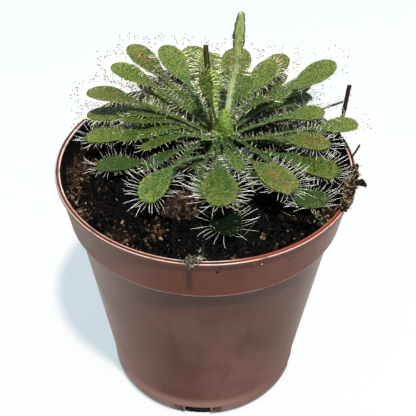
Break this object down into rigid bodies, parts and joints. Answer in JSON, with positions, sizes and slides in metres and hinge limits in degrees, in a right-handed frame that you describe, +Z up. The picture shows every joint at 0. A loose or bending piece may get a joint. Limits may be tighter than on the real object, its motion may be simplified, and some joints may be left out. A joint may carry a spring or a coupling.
{
  "type": "potted sundew",
  "caption": "Rosette of spoon-shaped sundew leaves with a young flower stalk, growing in peat in a round plastic nursery pot.",
  "frame": {"origin": "on the pot's axis, in the plane of the foot that it stands on", "axes": "+Z up along the pot's axis and the flower stalk, -Y towards the front of the picture, +X to its right"},
  "size_m": [0.0915, 0.0906, 0.1296],
  "materials": {
    "pot_plastic": "satin",
    "peat": "matte",
    "moss_fibre": "matte",
    "crown_green": "satin",
    "leaf_green": "satin",
    "leaf_shaded": "satin",
    "scape_green": "satin",
    "scape_dry": "matte",
    "tentacle_hair": "gloss",
    "dew_drop": "gloss"
  },
  "bodies": {
    "root": {"pot": "pot_plastic", "soil": "peat", "crown": "crown_green", "leaf_01": "leaf_shaded", "leaf_02": "leaf_green", "leaf_03": "leaf_shaded", "leaf_04": "leaf_green", "leaf_05": "leaf_shaded", "leaf_06": "leaf_green", "leaf_07": "leaf_shaded", "leaf_08": "leaf_green", "leaf_09": "leaf_green", "leaf_10": "leaf_shaded", "leaf_11": "leaf_green", "leaf_12": "leaf_green", "leaf_13": "leaf_shaded", "leaf_14": "leaf_green", "leaf_15": "leaf_green", "leaf_16": "leaf_shaded", "leaf_17": "leaf_green", "leaf_18": "leaf_green", "leaf_19": "leaf_green", "leaf_20": "leaf_shaded", "leaf_21": "leaf_green", "leaf_22": "leaf_green", "leaf_23": "leaf_green", "leaf_24": "leaf_green", "leaf_25": "leaf_green", "leaf_26": "leaf_shaded", "leaf_27": "leaf_shaded", "leaf_28": "leaf_green", "leaf_29": "leaf_green", "leaf_30": "leaf_green", "leaf_31": "leaf_green", "leaf_32": "leaf_green", "leaf_33": "leaf_green", "leaf_34": "leaf_green", "leaf_35": "leaf_green", "leaf_36": "leaf_green", "leaf_37": "leaf_shaded", "leaf_38": "leaf_green", "leaf_39": "leaf_shaded", "leaf_40": "leaf_shaded", "leaf_41": "leaf_shaded", "leaf_42": "leaf_green", "leaf_43": "leaf_green", "leaf_44": "leaf_green", "leaf_45": "leaf_green", "leaf_46": "leaf_green", "young_scape": "scape_green", "dead_scape_stub": "scape_dry", "dry_stub_right": "scape_dry", "rim_twig": "scape_dry", "peat_lump": "peat", "rim_clump_right": "moss_fibre", "rim_crumb_front": "moss_fibre"}
  },
  "joints": []
}
